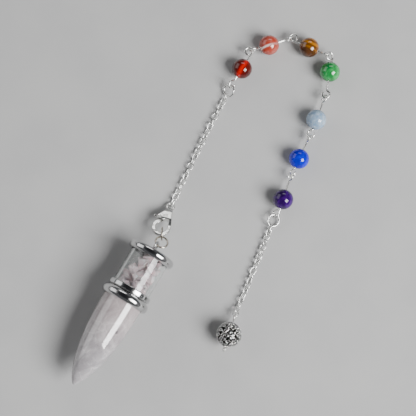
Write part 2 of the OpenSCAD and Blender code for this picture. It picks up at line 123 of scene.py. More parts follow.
def lie(at):
    """The middle of a cloud of points, and its axes from the longest to the shortest."""
    middle = (at.max(axis=0) + at.min(axis=0)) / 2
    spread = at - at.mean(axis=0)
    axes = np.linalg.eigh(spread.T @ spread)[1].T[::-1]
    local = (at - middle) @ axes.T
    middle = middle + ((local.max(axis=0) + local.min(axis=0)) / 2) @ axes
    return Vector(middle), [Vector(a) for a in axes]


def islands(node):
    """The vertices of each loose solid of a CAD node, in millimetres, in a fixed order."""
    bm = bmesh.new()
    bm.from_mesh(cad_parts[node].data)
    bmesh.ops.remove_doubles(bm, verts=bm.verts, dist=1e-7)
    seen = set()
    found = []
    for start in bm.verts:
        if start in seen:
            continue
        seen.add(start)
        queue = [start]
        island = []
        while queue:
            v = queue.pop()
            island.append([round(c / MM, 4) for c in v.co])
            for e in v.link_edges:
                other = e.other_vert(v)
                if other not in seen:
                    seen.add(other)
                    queue.append(other)
        found.append(np.array(sorted(island)))
    bm.free()
    return sorted(found, key=lambda a: (round(a[:, 1].mean(), 3), a[:, 0].mean()))


def placed(origin, z_axis, x_hint):
    """The matrix of a piece at a point, its +Z along an axis and +X near a hint."""
    z = Vector(z_axis).normalized()
    x = Vector(x_hint)
    x = (x - z * z.dot(x)).normalized()
    m = Matrix((x, z.cross(x), z)).transposed().to_4x4()
    m.translation = origin
    return m


def headed(origin, heading):
    """The matrix of a piece at a point, its +X along a heading in the plane."""
    return Matrix.Translation(origin) @ Matrix.Rotation(math.radians(heading), 4, "Z")


def heading_of(angle):
    return Vector((math.cos(math.radians(angle)), math.sin(math.radians(angle)), 0))


# Making pieces

def make(name, bm, at, body, material, nodes=(), bevel=0.0, smooth=True):
    """Turns a mesh shaped in millimetres into a piece that rides on a body."""
    bmesh.ops.remove_doubles(bm, verts=bm.verts, dist=1e-4)
    bmesh.ops.recalc_face_normals(bm, faces=bm.faces)
    bmesh.ops.transform(bm, matrix=Matrix.Scale(MM, 4) @ at, verts=bm.verts)
    mesh = bpy.data.meshes.new(name)
    bm.to_mesh(mesh)
    bm.free()
    if smooth:
        mesh.shade_smooth()
    piece = bpy.data.objects.new(name, mesh)
    bpy.context.collection.objects.link(piece)
    mesh.materials.append(material)
    if bevel:
        edges = piece.modifiers.new("edges", "BEVEL")
        edges.width = bevel * MM
        edges.segments = 3
        edges.limit_method = "ANGLE"
        edges.angle_limit = math.radians(38)
        edges.harden_normals = True
    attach(piece, body)
    if nodes:
        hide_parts(*nodes)
    return piece


def turned(outline, steps=96):
    """A solid turned round Z from an outline of (radius, height)."""
    bm = bmesh.new()
    verts = [bm.verts.new((r, 0, z)) for r, z in outline]
    edges = [bm.edges.new(pair) for pair in zip(verts, verts[1:])]
    bmesh.ops.spin(bm, geom=verts + edges, cent=(0, 0, 0), axis=(0, 0, 1),
                   angle=math.tau, steps=steps, use_merge=True)
    bmesh.ops.remove_doubles(bm, verts=bm.verts, dist=1e-4)
    return bm


def arc(cx, cz, radius, start, end, steps):
    """Points (radius, height) on an arc, its angles in degrees from outwards."""
    turns = [math.radians(start + (end - start) * i / steps) for i in range(steps + 1)]
    return [(cx + radius * math.cos(a), cz + radius * math.sin(a)) for a in turns]


def draw_wire(bm, steps, wire, at, sides=12, closed=False, fine=12):
    """Draws a round wire along +X of a matrix through a list of steps: (length, 0) for a
    straight, and (angle, radius) for a bend, which is to the left if the angle is positive."""
    ring = bmesh.ops.create_circle(bm, cap_ends=False, radius=wire / 2, segments=sides)
    face_on = at @ Matrix.Rotation(math.pi / 2, 4, "Y")
    bmesh.ops.transform(bm, matrix=face_on, verts=ring["verts"])
    front = list(dict.fromkeys(e for v in ring["verts"] for e in v.link_edges))
    first = list(front)
    for amount, radius in steps:
        if radius == 0:
            new = bmesh.ops.extrude_edge_only(bm, edges=front)["geom"]
            verts = [g for g in new if isinstance(g, bmesh.types.BMVert)]
            bmesh.ops.translate(bm, verts=verts, vec=at.to_3x3() @ Vector((amount, 0, 0)))
            front = [g for g in new if isinstance(g, bmesh.types.BMEdge)
                     and g.verts[0] in verts and g.verts[1] in verts]
            at = at @ Matrix.Translation((amount, 0, 0))
        else:
            beside = Matrix.Translation((0, math.copysign(radius, amount), 0))
            verts = list(dict.fromkeys(v for e in front for v in e.verts))
            out = bmesh.ops.spin(bm, geom=verts + front, cent=(at @ beside).translation,
                                 axis=at.to_3x3() @ Vector((0, 0, 1)),
                                 angle=math.radians(amount),
                                 steps=max(2, round(abs(amount) / fine)))
            front = [g for g in out["geom_last"] if isinstance(g, bmesh.types.BMEdge)]
            at = at @ beside @ Matrix.Rotation(math.radians(amount), 4, "Z") @ beside.inverted()
    if closed:
        bmesh.ops.remove_doubles(bm, verts=bm.verts, dist=1e-3)
    else:
        for rim in (first, front):
            bmesh.ops.edgeloop_fill(bm, edges=rim)
            bmesh.ops.bevel(bm, geom=rim, offset=wire * 0.22, offset_type="OFFSET", segments=3,
                            profile=0.5, affect="EDGES", material=-1, clamp_overlap=True)
    return at


def eye_steps(side):
    """The bends of a pin's eye, from the end of its stem."""
    if side:
        closed = math.degrees(math.acos(1 - (PIN_WIRE + 0.05) / EYE_R))
        return [(side * (360 - closed), EYE_R)]
    kink = math.radians(EYE_KINK)
    straight = (EYE_R * math.cos(kink) - EYE_BEND_R * (1 - math.cos(kink))) / math.sin(kink)
    return [(-EYE_KINK, EYE_BEND_R), (straight, 0), (180 + 2 * EYE_KINK - EYE_CLOSE, EYE_R)]


def eye_run(side):
    """Length of the stem's line that a centred eye's kink takes up."""
    if side:
        return 0
    kink = math.radians(EYE_KINK)
    straight = eye_steps(0)[1][0]
    return (EYE_BEND_R + EYE_R) * math.sin(kink) + straight * math.cos(kink)


def turn_x(angle):
    return Matrix.Rotation(math.radians(angle), 4, "X")


HALF_TURN = Matrix.Rotation(math.pi, 4, "Z")


# Materials

def group(name, inputs, outputs):
    """An empty shader node group with named sockets, and its ends."""
    tree = bpy.data.node_groups.new(name, "ShaderNodeTree")
    for label, kind, value in inputs:
        socket = tree.interface.new_socket(name=label, in_out="INPUT", socket_type=kind)
        if value is not None:
            socket.default_value = value
    for label, kind in outputs:
        tree.interface.new_socket(name=label, in_out="OUTPUT", socket_type=kind)
    return tree, tree.nodes.new("NodeGroupInput"), tree.nodes.new("NodeGroupOutput")


def add(tree, kind, **settings):
    """A node with its properties set, and its inputs set or linked by name or number."""
    node = tree.nodes.new(kind)
    for key, value in settings.pop("set", {}).items():
        setattr(node, key, value)
    for key, value in settings.pop("sockets", {}).items():
        if isinstance(value, bpy.types.NodeSocket):
            tree.links.new(value, node.inputs[key])
        else:
            node.inputs[key].default_value = value
    return node


def noise(tree, vector, scale, detail=4.0, rough=0.55, distort=0.0):
    sockets = {"Vector": vector, "Scale": scale, "Detail": detail, "Roughness": rough,
               "Distortion": distort}
    return add(tree, "ShaderNodeTexNoise", sockets=sockets).outputs["Fac"]


def ramp(tree, value, low, high, to_low=0.0, to_high=1.0):
    """A value stretched from one range to another, smoothly."""
    sockets = {"Value": value, "From Min": low, "From Max": high, "To Min": to_low,
               "To Max": to_high}
    node = add(tree, "ShaderNodeMapRange", set={"interpolation_type": "SMOOTHSTEP"},
               sockets=sockets)
    return node.outputs["Result"]


def mix(tree, factor, a, b):
    node = add(tree, "ShaderNodeMix", set={"data_type": "RGBA"},
               sockets={0: factor, 6: a, 7: b})
    return node.outputs[2]


def maths(tree, operation, a, b=0.0):
    return add(tree, "ShaderNodeMath", set={"operation": operation},
               sockets={0: a, 1: b}).outputs[0]


def scaled(tree, vector, scale):
    """A vector stretched by three shares."""
    return add(tree, "ShaderNodeVectorMath", set={"operation": "MULTIPLY"},
               sockets={0: vector, 1: scale}).outputs[0]


def make_silver_group():
    """Plated metal: soft grey cloudiness, dull film, fine scratches. Works in mm."""
    tree, ends, out = group(
        "plated_silver",
        [("Vector", "NodeSocketVector", None), ("Bright", "NodeSocketColor", (0.8, 0.8, 0.8, 1)),
         ("Film", "NodeSocketColor", (0.4, 0.38, 0.34, 1)), ("Film Amount", "NodeSocketFloat", 0.3),
         ("Polish", "NodeSocketFloat", 0.12), ("Scratches", "NodeSocketFloat", 0.5)],
        [("Color", "NodeSocketColor"), ("Roughness", "NodeSocketFloat"),
         ("Height", "NodeSocketFloat")])
    vector = ends.outputs["Vector"]
    cloud = noise(tree, vector, 0.55, 5, 0.6, 0.6)
    film = ramp(tree, cloud, 0.48, 0.74)
    film = maths(tree, "MULTIPLY", film, ends.outputs["Film Amount"])
    out_color = mix(tree, film, ends.outputs["Bright"], ends.outputs["Film"])
    grain = noise(tree, vector, 7.0, 3, 0.6)
    tree.links.new(out_color, out.inputs["Color"])
    rough = maths(tree, "ADD", maths(tree, "MULTIPLY", film, 0.35), ends.outputs["Polish"])
    rough = maths(tree, "ADD", rough, ramp(tree, grain, 0.45, 0.75, 0.0, 0.08))
    tree.links.new(rough, out.inputs["Roughness"])
    streaks = noise(tree, scaled(tree, vector, (1.2, 14.0, 3.0)), 1.6, 3, 0.7)
    fine = maths(tree, "MULTIPLY", ramp(tree, streaks, 0.55, 0.72), ends.outputs["Scratches"])
    tree.links.new(maths(tree, "SUBTRACT", maths(tree, "MULTIPLY", grain, 0.4), fine),
                   out.inputs["Height"])
    return tree


def make_stone_group():
    """Polished stone: soft clouds, thin healed cracks and tiny specks. Works in mm."""
    tree, ends, out = group(
        "clouded_stone",
        [("Vector", "NodeSocketVector", None), ("Body", "NodeSocketColor", (0.5, 0.5, 0.5, 1)),
         ("Cloud", "NodeSocketColor", (0.7, 0.7, 0.7, 1)),
         ("Vein", "NodeSocketColor", (0.9, 0.9, 0.9, 1)),
         ("Size", "NodeSocketFloat", 0.3), ("Clouds", "NodeSocketFloat", 1.0),
         ("Veins", "NodeSocketFloat", 0.5), ("Specks", "NodeSocketFloat", 0.2)],
        [("Color", "NodeSocketColor"), ("Roughness", "NodeSocketFloat"),
         ("Height", "NodeSocketFloat")])
    vector = ends.outputs["Vector"]
    size = ends.outputs["Size"]
    cloud = noise(tree, vector, size, 6, 0.62, 0.9)
    clouds = maths(tree, "MULTIPLY", ramp(tree, cloud, 0.36, 0.66), ends.outputs["Clouds"])
    color = mix(tree, clouds, ends.outputs["Body"], ends.outputs["Cloud"])
    bent = add(tree, "ShaderNodeVectorMath", set={"operation": "ADD"}, sockets={
        0: vector,
        1: add(tree, "ShaderNodeTexNoise", sockets={"Vector": vector, "Scale": size}
               ).outputs["Color"]}).outputs[0]
    cracks = add(tree, "ShaderNodeTexVoronoi", set={"feature": "DISTANCE_TO_EDGE"},
                 sockets={"Vector": bent, "Scale": maths(tree, "MULTIPLY", size, 1.7)})
    veins = ramp(tree, cracks.outputs["Distance"], 0.0, 0.07, 1.0, 0.0)
    veins = maths(tree, "MULTIPLY", veins, ramp(tree, cloud, 0.42, 0.6))
    veins = maths(tree, "MULTIPLY", veins, ends.outputs["Veins"])
    color = mix(tree, veins, color, ends.outputs["Vein"])
    speck = noise(tree, vector, maths(tree, "MULTIPLY", size, 11.0), 3, 0.7)
    specks = maths(tree, "MULTIPLY", ramp(tree, speck, 0.56, 0.72), ends.outputs["Specks"])
    color = mix(tree, specks, color, mix(tree, 0.65, ends.outputs["Body"], (0.02, 0.02, 0.02, 1)))
    tree.links.new(color, out.inputs["Color"])
    tree.links.new(ramp(tree, speck, 0.5, 0.8, 0.0, 0.1), out.inputs["Roughness"])
    tree.links.new(maths(tree, "MULTIPLY", veins, -0.5), out.inputs["Height"])
    return tree


def make_band_group():
    """Silky bands across a stone, as in tiger's eye. Works in mm."""
    tree, ends, out = group(
        "silky_bands",
        [("Vector", "NodeSocketVector", None), ("Dark", "NodeSocketColor", (0.05, 0.02, 0.0, 1)),
         ("Gold", "NodeSocketColor", (0.6, 0.3, 0.05, 1)), ("Width", "NodeSocketFloat", 1.0)],
        [("Color", "NodeSocketColor"), ("Height", "NodeSocketFloat")])
    vector = ends.outputs["Vector"]
    wave = add(tree, "ShaderNodeTexWave", set={"wave_type": "BANDS", "bands_direction": "Y"},
               sockets={"Vector": vector, "Scale": ends.outputs["Width"], "Distortion": 2.2,
                        "Detail": 3.0, "Detail Scale": 1.3})
    silk = noise(tree, scaled(tree, vector, (0.5, 7.0, 4.0)), 1.5, 4, 0.6)
    share = maths(tree, "MULTIPLY", ramp(tree, wave.outputs["Fac"], 0.15, 0.9),
                  ramp(tree, silk, 0.25, 0.7, 0.45, 1.0))
    tree.links.new(mix(tree, share, ends.outputs["Dark"], ends.outputs["Gold"]),
                   out.inputs["Color"])
    tree.links.new(silk, out.inputs["Height"])
    return tree


def make_painted_bore_light_group():
    """How near a point of a bead lies to the plane through its bore, 1 in the middle: the mask for
    light painted along a bead's bore.
    """
    tree, ends, out = group(
        "painted_light_along_bore",
        [("Vector", "NodeSocketVector", None), ("Half Width", "NodeSocketFloat", 0.8),
         ("Offset", "NodeSocketFloat", 0.0)],
        [("Mask", "NodeSocketFloat")])
    apart = add(tree, "ShaderNodeSeparateXYZ", sockets={0: ends.outputs["Vector"]})
    wobble = noise(tree, ends.outputs["Vector"], 0.9, 3, 0.5)
    sway = maths(tree, "MULTIPLY", maths(tree, "SUBTRACT", wobble, 0.5), 0.5)
    across = maths(tree, "ADD", apart.outputs["Y"], sway)
    across = maths(tree, "ABSOLUTE", maths(tree, "SUBTRACT", across, ends.outputs["Offset"]))
    share = maths(tree, "DIVIDE", across, ends.outputs["Half Width"])
    tree.links.new(ramp(tree, share, 0.0, 1.0, 1.0, 0.0), out.inputs["Mask"])
    return tree


SILVER = make_silver_group()
STONE = make_stone_group()
BANDS = make_band_group()
PAINTED_BORE_LIGHT = make_painted_bore_light_group()


def local(tree, at):
    """Object coordinates brought into a piece's own frame, in millimetres."""
    place = at.copy()
    where = add(tree, "ShaderNodeTexCoord").outputs["Object"]
    mapping = add(tree, "ShaderNodeMapping", set={"vector_type": "TEXTURE"}, sockets={
        "Vector": where, "Location": place.translation * MM, "Rotation": place.to_euler(),
        "Scale": (MM, MM, MM)})
    return mapping.outputs["Vector"]


def placed_group(tree, shared, vector, **values):
    node = tree.nodes.new("ShaderNodeGroup")
    node.node_tree = shared
    tree.links.new(vector, node.inputs["Vector"])
    for key, value in values.items():
        label = key.replace("_", " ")
        if isinstance(value, bpy.types.NodeSocket):
            tree.links.new(value, node.inputs[label])
        else:
            node.inputs[label].default_value = value
    return node


def material(name, **shader):
    """A material with its Principled shader's plain sockets set."""
    made = bpy.data.materials.new(name)
    made.use_nodes = True
    principled = made.node_tree.nodes["Principled BSDF"]
    for key, value in shader.items():
        principled.inputs[key.replace("_", " ")].default_value = value
    return made, made.node_tree, principled


def bump(tree, principled, height, distance, strength=0.5):
    """Raises a surface by a height, its distance in millimetres."""
    node = add(tree, "ShaderNodeBump", sockets={
        "Height": height, "Distance": distance * MM, "Strength": strength})
    tree.links.new(node.outputs["Normal"], principled.inputs["Normal"])


def metal(name, bright, film, amount, polish, scratches, relief=0.01):
    made, tree, principled = material(name, Metallic=1.0)
    node = placed_group(tree, SILVER, local(tree, Matrix.Identity(4)), Bright=(*bright, 1),
                        Film=(*film, 1), Film_Amount=amount, Polish=polish,
                        Scratches=scratches)
    tree.links.new(node.outputs["Color"], principled.inputs["Base Color"])
    tree.links.new(node.outputs["Roughness"], principled.inputs["Roughness"])
    bump(tree, principled, node.outputs["Height"], relief)
    return made


def stone(name, at, body, cloud, vein, size, clouds=1.0, veins=0.4, specks=0.2, polish=0.07,
          glow=0.0, glow_radius=(1, 1, 1), **shader):
    """A polished stone whose pattern lies in its own frame."""
    made, tree, principled = material(name, Coat_Weight=0.5, Coat_Roughness=0.03, **shader)
    node = placed_group(tree, STONE, local(tree, at), Body=(*body, 1), Cloud=(*cloud, 1),
                        Vein=(*vein, 1), Size=size, Clouds=clouds, Veins=veins, Specks=specks)
    tree.links.new(node.outputs["Color"], principled.inputs["Base Color"])
    rough = maths(tree, "ADD", node.outputs["Roughness"], polish)
    tree.links.new(rough, principled.inputs["Roughness"])
    bump(tree, principled, node.outputs["Height"], 0.02, 0.4)
    if glow:
        principled.inputs["Subsurface Weight"].default_value = glow
        principled.inputs["Subsurface Radius"].default_value = glow_radius
        principled.inputs["Subsurface Scale"].default_value = MM
    return made, tree, principled, node


PLATED = metal("plated_silver_polished", (0.60, 0.60, 0.60), (0.24, 0.22, 0.19), 0.4, 0.1, 0.4)
RING_SILVER = metal("ring_silver", (0.80, 0.80, 0.78), (0.34, 0.32, 0.28), 0.45, 0.2, 0.5)
TARNISHED = metal("tarnished_ring_silver", (0.50, 0.46, 0.40), (0.14, 0.11, 0.075), 0.8, 0.15,
                  0.5)
CHAIN_SILVER = metal("chain_silver", (0.84, 0.84, 0.82), (0.32, 0.31, 0.28), 0.45, 0.26, 0.3)
PIN_SILVER = metal("pin_silver", (0.82, 0.82, 0.80), (0.36, 0.35, 0.32), 0.4, 0.24, 0.4)
CLASP_SILVER = metal("clasp_satin_silver", (0.78, 0.78, 0.76), (0.26, 0.25, 0.22), 0.55, 0.2,
                     0.6, 0.015)


# The pendant: point, collar, vial and cap, all turned round one axis

COLLAR_MID = centroid("collar")
TUBE_MID = centroid("glass_tube")
PENDANT_AXIS = (TUBE_MID - COLLAR_MID).normalized()


def along_pendant(node):
    """Lowest and highest station of a node on the pendant's axis, and its reach from it."""
    at = points(node) - np.array(COLLAR_MID)
    station = at @ np.array(PENDANT_AXIS)
    out = np.linalg.norm(at - np.outer(station, np.array(PENDANT_AXIS)), axis=1)
    return station.min(), station.max(), out.max()


TIP_STATION = along_pendant("stone_point")[0]
PENDANT = placed(COLLAR_MID + PENDANT_AXIS * TIP_STATION, PENDANT_AXIS, (0, 0, 1))


def on_pendant(node):
    """The same, counted from the stone's tip."""
    low, high, out = along_pendant(node)
    return low - TIP_STATION, high - TIP_STATION, out


def make_stone_point():
    _, high, out = on_pendant("stone_point")
    rows = 64
    outline = [(0, 0)]
    for i in range(1, rows + 1):
        z = POINT_SHOWN * (1 - math.cos(math.pi / 2 * i / rows))
        full = 1 - (1 - z / POINT_SHOWN) ** POINT_BELLY
        outline.append((out * full ** POINT_BLUNT, z))
    outline += [(out, high - 0.2), (out - 0.2, high), (0, high)]
    made, tree, principled, node = stone(
        "milky_rose_quartz", PENDANT, (0.33, 0.31, 0.325), (0.56, 0.535, 0.545),
        (0.82, 0.80, 0.80), 0.14, 1.0, 0.4, 0.35, 0.05, 0.25, (2.0, 1.6, 1.6), IOR=1.6)
    principled.inputs["Coat Weight"].default_value = 1.0
    principled.inputs["Coat Roughness"].default_value = 0.02
    # The stone is pinker towards the collar
    vector = local(tree, PENDANT)
    height = add(tree, "ShaderNodeSeparateXYZ", sockets={0: vector})
    blush = ramp(tree, height.outputs["Z"], 0.3 * POINT_SHOWN, 1.0 * POINT_SHOWN, 0.0, 0.6)
    color = mix(tree, blush, node.outputs["Color"], (0.42, 0.34, 0.335, 1))
    # A small dark fleck shows inside it
    apart = add(tree, "ShaderNodeVectorMath", set={"operation": "DISTANCE"},
                sockets={0: vector, 1: FLECK_AT}).outputs["Value"]
    edge = ramp(tree, noise(tree, vector, 3.0, 3), 0.3, 0.7, -0.2, 0.2)
    ragged = maths(tree, "ADD", apart, edge)
    color = mix(tree, ramp(tree, ragged, 0.2, 0.6, 0.75, 0.0), color, (0.10, 0.09, 0.10, 1))
    tree.links.new(color, principled.inputs["Base Color"])
    make("rose_quartz_point", turned(outline, 128), PENDANT, PENDULUM, made, ["stone_point"])


def rim_outline(radius, height, z):
    """Half the outline of a disc with a bulging rim, from its underside to its top."""
    bulge = 0.62 * height
    half = math.degrees(math.asin(height / 2 / bulge))
    return arc(radius - bulge, z + height / 2, bulge, -half, half, 20)


def make_collar():
    low, high, out = on_pendant("collar")
    stone_r = on_pendant("stone_point")[2] + 0.06
    root = on_pendant("stone_point")[1] + 0.05
    outline = [(0, root), (stone_r, root), (stone_r, low)]
    outline += rim_outline(out, COLLAR_H, low)
    outline += [(BOSS_R + 0.25, low + COLLAR_H), (BOSS_R, low + COLLAR_H + 0.1), (BOSS_R, high),
                (0, high)]
    make("collar_band", turned(outline), PENDANT, PENDULUM, PLATED, ["collar"],
         0.12)


def make_vial_base():
    low, high, out = on_pendant("vial_base")
    tube_r = on_pendant("glass_tube")[2] + 0.05
    step = (high - low) * 0.22
    outline = [(0, low), (out - 0.35, low), (out, low + step), (out, high - step * 0.6),
               (out - 0.3, high), (tube_r, high), (tube_r, high - SEAT_DEPTH),
               (0, high - SEAT_DEPTH)]
    make("vial_foot", turned(outline), PENDANT, PENDULUM, PLATED, ["vial_base"],
         0.08)


def make_glass_tube():
    low, high, out = on_pendant("glass_tube")
    inner = out - TUBE_WALL
    outline = [(inner, low), (out, low), (out, high), (inner, high), (inner, low)]
    made, tree, principled = material(
        "clear_tube_glass", Base_Color=(0.97, 0.985, 0.98, 1), Transmission_Weight=1.0, IOR=1.47)
    vector = local(tree, PENDANT)
    smear = noise(tree, scaled(tree, vector, (1, 1, 0.3)), 0.6, 3, 0.5)
    rough = ramp(tree, smear, 0.5, 0.8, 0.0, 0.06)
    tree.links.new(rough, principled.inputs["Roughness"])
    bump(tree, principled, noise(tree, vector, 0.35, 1, 0.4), 0.01, 0.15)
    make("glass_vial", turned(outline), PENDANT, PENDULUM, made, ["glass_tube"],
         0.15)


CHIP_LOW = on_pendant("glass_tube")[0] + 0.05
CHIP_HIGH = on_pendant("glass_tube")[1] - 0.05


def make_chips():
    """Chips that press against one another, each in the place of its CAD chip, turned and
    drawn out its own way, with broken edges worn a little round."""
    bm = bmesh.new()
    chance = random.Random(11)
    bore = on_pendant("glass_tube")[2] - TUBE_WALL - 0.08
    out_of = PENDANT.inverted()
    for chip in islands("quartz_chips"):
        part = bmesh.new()
        middle = Vector(chip.mean(axis=0))
        way = Vector([chance.uniform(-1, 1) for _ in range(3)]).normalized()
        tumble = Matrix.Rotation(chance.uniform(0, math.pi), 3, way)
        verts = []
        for corner in chance.sample(list(chip), min(len(chip), CHIP_CORNERS)):
            off = tumble @ (Vector(corner) - middle)
            off *= CHIP_GROWTH * chance.uniform(0.75, 1.12)
            off += way * off.dot(way) * CHIP_STRETCH
            at = out_of @ (middle + off)
            reach = math.hypot(at.x, at.y)
            if reach > bore:
                at.x *= bore / reach
                at.y *= bore / reach
            at.z = min(max(at.z, CHIP_LOW), CHIP_HIGH)
            verts.append(part.verts.new(PENDANT @ at))
        bmesh.ops.remove_doubles(part, verts=verts, dist=0.12)
        hull = bmesh.ops.convex_hull(part, input=part.verts)
        bmesh.ops.delete(part, geom=[g for g in hull["geom_interior"]
                                     if isinstance(g, bmesh.types.BMVert)], context="VERTS")
        bmesh.ops.dissolve_limit(part, angle_limit=math.radians(12), verts=part.verts,
                                 edges=part.edges)
        bmesh.ops.bevel(part, geom=list(part.edges), offset=CHIP_EDGE, offset_type="OFFSET",
                        segments=2, profile=0.5, affect="EDGES", material=-1,
                        clamp_overlap=True)
        spare = bpy.data.meshes.new("chip")
        part.to_mesh(spare)
        part.free()
        bm.from_mesh(spare)
        bpy.data.meshes.remove(spare)
    made = stone(
        "rose_quartz_chips", PENDANT, (0.72, 0.57, 0.60), (0.88, 0.79, 0.81),
        (0.95, 0.92, 0.93), 0.4, 1.0, 0.6, 0.1, 0.22, 0.25, (1.2, 0.9, 0.9))[0]
    make("vial_chips", bm, Matrix.Identity(4), PENDULUM, made, ["quartz_chips"],
         smooth=False)


def make_top_cap():
    low, high, out = on_pendant("top_cap")
    tube_r = on_pendant("glass_tube")[2] + 0.05
    top = low + CAP_RIM_H + CAP_DOME_H
    crown_r = out - CAP_RIM_H / 2 - 0.1
    dome_r = (crown_r ** 2 + CAP_DOME_H ** 2) / (2 * CAP_DOME_H)
    half = math.degrees(math.asin(crown_r / dome_r))
    outline = [(0, low + SEAT_DEPTH), (tube_r, low + SEAT_DEPTH), (tube_r, low)]
    outline += rim_outline(out, CAP_RIM_H, low)
    outline += arc(0, top - dome_r, dome_r, 90 - half, 90, 16)[:-1]
    # Solder runs up into the eye's foot
    outline = [p for p in outline if p[0] > 0.9 or p[1] < low + SEAT_DEPTH + 0.1]
    outline += [(0.8, top + 0.02), (0.45, top + 0.12), (0.36, top + 0.5), (0, top + 0.5)]
    bm = turned(outline)
    at = points("top_cap")
    station = (at - np.array(PENDANT.translation)) @ np.array(PENDANT_AXIS)
    eye = at[station > high - CAP_EYE_R - CAP_EYE_WIRE]
    flat = lie(eye)[1][2]
    centre = Vector((0, 0, high - CAP_EYE_R - CAP_EYE_WIRE / 2))
    eye_at = placed(centre, PENDANT.to_3x3().inverted() @ flat, (0, 0, 1))
    start = eye_at @ Matrix.Translation((0, -CAP_EYE_R, 0))
    draw_wire(bm, [(360, CAP_EYE_R)], CAP_EYE_WIRE, start, 16, True, 8)
    make("vial_cap", bm, PENDANT, PENDULUM, PLATED, ["top_cap"], 0.12)


# Rings, clasp and chains

def make_ring(name, node, wire, cut_turn, finish):
    """A jump ring with the fine cut where its ends meet, towards a heading."""
    middle, axes = lie(points(node))
    reach = max((Vector(p) - middle).length for p in points(node)) - wire / 2
    at = placed(middle, axes[2], heading_of(cut_turn))
    start = at @ Matrix.Rotation(math.radians(RING_CUT / 2), 4, "Z")
    start = start @ Matrix.Translation((0, -reach, 0))
    bm = bmesh.new()
    draw_wire(bm, [(360 - RING_CUT, reach)], wire, start, 14, False, 8)
    make(name, bm, Matrix.Identity(4), PENDULUM, finish, [node])


def add_link(bm, at, axes, middle, wire, sides=10):
    """An oval link that lies as a cloud of CAD points does."""
    local_at = (at - np.array(middle)) @ np.array([a[:] for a in axes]).T
    length, width = (local_at.max(axis=0) - local_at.min(axis=0))[:2]
    bend = (width - wire) / 2
    run = length - width
    place = placed(middle, axes[2], axes[0])
    start = place @ Matrix.Translation((-run / 2, -bend, 0))
    draw_wire(bm, [(run, 0), (180, bend), (run, 0), (180, bend)], wire, start, sides, True, 18)


def make_chain(name, node):
    bm = bmesh.new()
    for at in islands(node):
        middle, axes = lie(at)
        add_link(bm, at, axes, middle, LINK_WIRE)
    make(name, bm, Matrix.Identity(4), PENDULUM, CHAIN_SILVER, [node])


def make_clasp_link():
    bm = bmesh.new()
    at = points("clasp_link")
    middle, axes = lie(at)
    add_link(bm, at, axes, middle, CLASP_LINK_WIRE, 14)
    make("eyelet_link", bm, Matrix.Identity(4), PENDULUM, CHAIN_SILVER, ["clasp_link"])


def cast(name, node, body, grain, rounds):
    """A cast piece: the CAD solid meshed at a fine grain, with its edges run soft in some
    rounds of smoothing, as cast metal's are."""
    bm = bmesh.new()
    bm.from_mesh(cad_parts[node].data)
    bmesh.ops.scale(bm, vec=(1 / MM,) * 3, verts=bm.verts)
    bmesh.ops.remove_doubles(bm, verts=bm.verts, dist=1e-4)
    rough = bpy.data.meshes.new(name + "_rough")
    bm.to_mesh(rough)
    bm.free()
    holder = bpy.data.objects.new(name + "_rough", rough)
    bpy.context.collection.objects.link(holder)
    skin = holder.modifiers.new("skin", "REMESH")
    skin.mode = "VOXEL"
    skin.voxel_size = grain
    skinned = bpy.data.meshes.new_from_object(
        holder.evaluated_get(bpy.context.evaluated_depsgraph_get()))
    bm = bmesh.new()
    bm.from_mesh(skinned)
    bpy.data.objects.remove(holder)
    bpy.data.meshes.remove(rough)
    bpy.data.meshes.remove(skinned)
    for _ in range(rounds):
        bmesh.ops.smooth_vert(bm, verts=bm.verts, factor=0.5, use_axis_x=True,
                              use_axis_y=True, use_axis_z=True)
    make(name, bm, Matrix.Identity(4), body, CLASP_SILVER, [node])


def make_rivet():
    """The lever's rivet, with its two heads peened a little round."""
    at = points("clasp_pin")
    middle, axes = lie(at)
    up = axes[0] if axes[0].z > 0 else -axes[0]
    end = np.ptp(at @ np.array(up)) / 2
    outline = [(0, -end), (RIVET_R * 0.7, 0.02 - end), (RIVET_R, RIVET_CROWN - end),
               (RIVET_R, end - RIVET_CROWN), (RIVET_R * 0.7, end - 0.02), (0, end)]
    make("lever_rivet", turned(outline, 32), placed(middle, up, (1, 0, 0)), PENDULUM,
         CLASP_SILVER, ["clasp_pin"])


# Beads and their pins

def make_pin(name):
    """A pin's stem and both its eyes, along the bead's bore."""
    lies = BEADS[name]
    way = heading_of(lies["heading"])
    at = points("pin_" + name)
    centre = centroid("bead_" + name)
    stations = (at - np.array(centre)) @ np.array(way)
    near = stations.min() + EYE_R + PIN_WIRE / 2
    far = stations.max() - EYE_R - PIN_WIRE / 2
    place = headed(centre + way * near, lies["heading"])
    (near_turn, near_side), (far_turn, far_side) = lies["near"], lies["far"]
    near_run, far_run = eye_run(near_side), eye_run(far_side)
    stem = far - near - near_run - far_run
    # The wire starts at the near eye's tip, so its bends are taken in reverse
    bm = bmesh.new()
    stem_at = place @ Matrix.Translation((near_run, 0, 0))
    draw_wire(bm, eye_steps(-near_side), PIN_WIRE, stem_at @ HALF_TURN @ turn_x(-near_turn), 14)
    draw_wire(bm, [(stem, 0)], PIN_WIRE, stem_at, 14)
    far_at = stem_at @ Matrix.Translation((stem, 0, 0))
    draw_wire(bm, eye_steps(far_side), PIN_WIRE, far_at @ turn_x(far_turn), 14)
    make("eye_pin_" + name, bm, Matrix.Identity(4), PENDULUM, PIN_SILVER, ["pin_" + name])


def make_bead(name, finish):
    """A round bead, drilled, with the drill's rims eased."""
    at = headed(centroid("bead_" + name), BEADS[name]["heading"])
    low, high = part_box("bead_" + name)
    radius = (high[2] - low[2]) / 2 / MM
    bore = BEAD_BORE / 2
    reach = math.degrees(math.asin((bore + 0.12) / radius))
    outline = arc(0, 0, radius, -90 + reach, 90 - reach, 48)
    end = outline[-1][1]
    outline += [(bore, end - 0.1), (bore, 0.1 - end), outline[0]]
    lengthwise = at @ Matrix.Rotation(math.pi / 2, 4, "Y")
    make("stone_bead_" + name, turned(outline, 72), lengthwise, PENDULUM, finish(at),
         ["bead_" + name])


